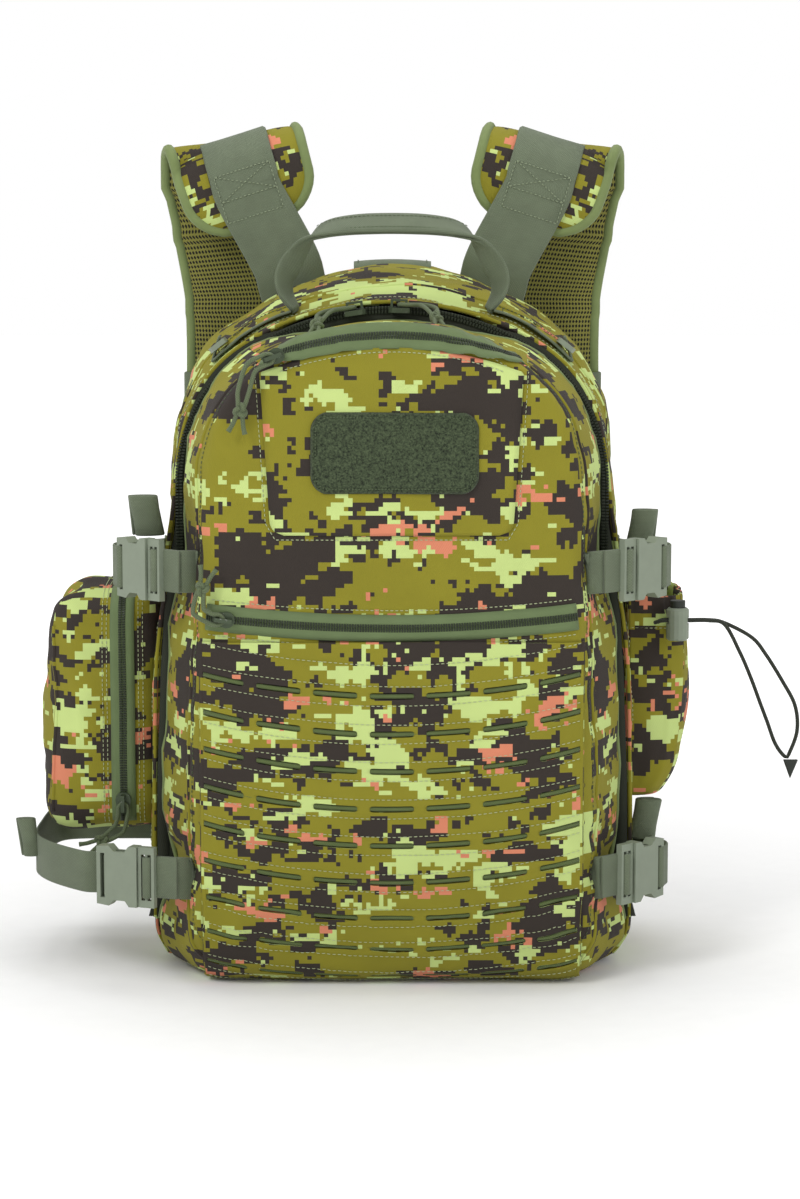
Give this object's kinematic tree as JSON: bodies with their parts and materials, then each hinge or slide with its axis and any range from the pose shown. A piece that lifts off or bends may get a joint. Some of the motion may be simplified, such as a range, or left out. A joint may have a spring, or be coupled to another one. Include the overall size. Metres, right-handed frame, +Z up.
{
  "type": "backpack",
  "caption": "Standing hunting backpack with a hinged front section, slotted webbing panel, side pockets, compression straps and padded shoulder straps.",
  "frame": {"origin": "middle of the base, on the ground under the main compartment", "axes": "+Z up; -Y is the front with the slotted panel; +Y is the back panel against the wearer; +X is the viewer's right from the front"},
  "size_m": [0.5427, 0.2631, 0.5962],
  "materials": {
    "camo_fabric": "matt printed twill",
    "strap_pad": "matt padded twill",
    "spacer_mesh": "matt spacer mesh",
    "lining": "matt lining",
    "webbing": "matt ribbed webbing",
    "zip_tape": "matt woven tape with a coil",
    "zip_slider": "satin paint",
    "pull_cord": "matt braided cord",
    "loop_pile": "fuzzy loop pile",
    "buckle": "satin moulded",
    "dark_plastic": "matt moulded",
    "elastic_cord": "braided elastic",
    "spring_steel": "drawn wire"
  },
  "bodies": {
    "rear": {"rear_shell": "camo_fabric", "back_pad": "spacer_mesh", "frame_sheet": "dark_plastic", "hydration_sleeve": "lining", "main_zip_rear_tape": "zip_tape", "top_web_left": "webbing", "top_web_right": "webbing", "side_pouch": "camo_fabric", "side_pouch_zip": "zip_tape", "bottle_pocket": "camo_fabric", "shock_cord": "elastic_cord", "cord_end": "dark_plastic", "lower_web_left": "webbing", "lower_web_right": "webbing", "upper_left_rear_web": "webbing", "upper_right_rear_web": "webbing", "lower_left_rear_web": "webbing", "lower_right_rear_web": "webbing"},
    "front": {"front_shell": "camo_fabric", "organizer_panel": "camo_fabric", "loop_patch": "loop_pile", "organizer_zip": "zip_tape", "lower_pocket_zip": "zip_tape", "molle_panel": "camo_fabric", "main_zip_front_tape": "zip_tape", "upper_left_front_web": "webbing", "upper_left_socket": "buckle", "upper_right_front_web": "webbing", "upper_right_socket": "buckle", "lower_left_front_web": "webbing", "lower_left_socket": "buckle", "lower_right_front_web": "webbing", "lower_right_socket": "buckle"},
    "upper_left_plug": {"upper_left_plug": "buckle"},
    "upper_right_plug": {"upper_right_plug": "buckle"},
    "lower_left_plug": {"lower_left_plug": "buckle"},
    "lower_right_plug": {"lower_right_plug": "buckle"},
    "handle": {"grab_handle": "webbing"},
    "ring_left": {"d_ring_left": "buckle"},
    "ring_right": {"d_ring_right": "buckle"},
    "strap_left": {"shoulder_strap_left": "strap_pad", "anchor_web_left": "webbing"},
    "strap_right": {"shoulder_strap_right": "strap_pad", "anchor_web_right": "webbing"},
    "ladder_left": {"ladder_lock_left": "buckle"},
    "ladder_right": {"ladder_lock_right": "buckle"},
    "main_left_slider": {"main_left_slider": "zip_slider"},
    "main_left_pull": {"main_left_pull": "pull_cord"},
    "main_right_slider": {"main_right_slider": "zip_slider"},
    "main_right_pull": {"main_right_pull": "pull_cord"},
    "organizer_slider": {"organizer_slider": "zip_slider"},
    "organizer_pull": {"organizer_pull": "pull_cord"},
    "lower_pocket_slider": {"lower_pocket_slider": "zip_slider"},
    "lower_pocket_pull": {"lower_pocket_pull": "pull_cord"},
    "side_pouch_slider": {"side_pouch_slider": "zip_slider"},
    "side_pouch_pull": {"side_pouch_pull": "pull_cord"},
    "cord_lock": {"cord_lock_barrel": "buckle", "cord_lock_spring": "spring_steel"},
    "cord_lock_button": {"cord_lock_button": "dark_plastic"},
    "hydration_flap": {"hydration_flap": "webbing"}
  },
  "joints": [
    {"name": "front_open", "type": "hinge", "parent": "rear", "child": "front", "pos_m": [0, -0.0305, 0], "axis": [1, 0, 0], "range_deg": [0, 25]},
    {"name": "main_left_zip", "type": "hinge", "parent": "rear", "child": "main_left_slider", "pos_m": [0, -0.0375, 0.281], "axis": [0, 1, 0], "range_deg": [-20, 0]},
    {"name": "main_right_zip", "type": "hinge", "parent": "rear", "child": "main_right_slider", "pos_m": [0, -0.0375, 0.281], "axis": [0, 1, 0], "range_deg": [0, 28]},
    {"name": "main_left_pull_lift", "type": "hinge", "parent": "main_left_slider", "child": "main_left_pull", "pos_m": [-0.02577, -0.0375, 0.4644], "axis": [0, 1, 0], "range_deg": [0, 65]},
    {"name": "main_right_pull_lift", "type": "hinge", "parent": "main_right_slider", "child": "main_right_pull", "pos_m": [0.00485, -0.0375, 0.46614], "axis": [0, -1, 0], "range_deg": [0, 65]},
    {"name": "organizer_zip_run", "type": "hinge", "parent": "front", "child": "organizer_slider", "pos_m": [0, -0.1221, 0.218], "axis": [0, 1, 0], "range_deg": [0, 40]},
    {"name": "organizer_pull_lift", "type": "hinge", "parent": "organizer_slider", "child": "organizer_pull", "pos_m": [-0.07832, -0.1221, 0.43319], "axis": [-0.342, 0, 0.9397], "range_deg": [0, 65]},
    {"name": "lower_zip_run", "type": "hinge", "parent": "front", "child": "lower_pocket_slider", "pos_m": [0, -0.121, 1.231], "axis": [0, -1, 0], "range_deg": [0, 13.2]},
    {"name": "lower_pull_lift", "type": "hinge", "parent": "lower_pocket_slider", "child": "lower_pocket_pull", "pos_m": [-0.11264, -0.121, 0.25749], "axis": [0.1149, 0, 0.9934], "range_deg": [0, 65]},
    {"name": "side_zip_run", "type": "slide", "parent": "rear", "child": "side_pouch_slider", "axis": [0, 0, 1], "range_m": [0, 0.125]},
    {"name": "side_pull_lift", "type": "hinge", "parent": "side_pouch_slider", "child": "side_pouch_pull", "pos_m": [-0.19, -0.034, 0.116], "axis": [-1, 0, 0], "range_deg": [0, 35]},
    {"name": "upper_left_release", "type": "slide", "parent": "front", "child": "upper_left_plug", "axis": [0.7071, -0.7071, 0], "range_m": [0, 0.02]},
    {"name": "upper_right_release", "type": "slide", "parent": "front", "child": "upper_right_plug", "axis": [-0.7071, -0.7071, 0], "range_m": [0, 0.02]},
    {"name": "lower_left_release", "type": "slide", "parent": "front", "child": "lower_left_plug", "axis": [0.9397, -0.342, 0], "range_m": [0, 0.02]},
    {"name": "lower_right_release", "type": "slide", "parent": "front", "child": "lower_right_plug", "axis": [-0.7071, -0.7071, 0], "range_m": [0, 0.02]},
    {"name": "handle_fold", "type": "hinge", "parent": "rear", "child": "handle", "pos_m": [0, -0.013, 0.471], "axis": [1, 0, 0], "range_deg": [-40, 40]},
    {"name": "ring_left_swing", "type": "hinge", "parent": "rear", "child": "ring_left", "pos_m": [-0.1179, -0.013, 0.4403], "axis": [0, 1, 0], "range_deg": [0, 90]},
    {"name": "ring_right_swing", "type": "hinge", "parent": "rear", "child": "ring_right", "pos_m": [0.1179, -0.013, 0.4403], "axis": [0, -1, 0], "range_deg": [0, 90]},
    {"name": "strap_left_swing", "type": "hinge", "parent": "rear", "child": "strap_left", "pos_m": [-0.074, 0.086, 0.4815], "axis": [1, 0, 0], "range_deg": [0, 25]},
    {"name": "strap_right_swing", "type": "hinge", "parent": "rear", "child": "strap_right", "pos_m": [0.074, 0.086, 0.4815], "axis": [1, 0, 0], "range_deg": [0, 25]},
    {"name": "ladder_left_tilt", "type": "hinge", "parent": "strap_left", "child": "ladder_left", "pos_m": [-0.13, 0.131, 0.221], "axis": [1, 0, 0], "range_deg": [-15, 35]},
    {"name": "ladder_right_tilt", "type": "hinge", "parent": "strap_right", "child": "ladder_right", "pos_m": [0.13, 0.131, 0.221], "axis": [1, 0, 0], "range_deg": [-15, 35]},
    {"name": "cord_lock_slide", "type": "slide", "parent": "rear", "child": "cord_lock", "axis": [1, 0, 0], "range_m": [0, 0.014]},
    {"name": "lock_button_press", "type": "slide", "parent": "cord_lock", "child": "cord_lock_button", "axis": [0, 0, -1], "range_m": [0, 0.0035], "stiffness_N_per_m": 250, "deforming": ["cord_lock_spring"]},
    {"name": "hydration_flap_lift", "type": "hinge", "parent": "rear", "child": "hydration_flap", "pos_m": [0, 0.098, 0.4935], "axis": [-1, 0, 0], "range_deg": [0, 85]}
  ],
  "couplings": [
    {"joint": "main_left_zip", "follows": "front_open", "ratio": -0.8},
    {"joint": "main_right_zip", "follows": "front_open", "ratio": 1.12}
  ]
}
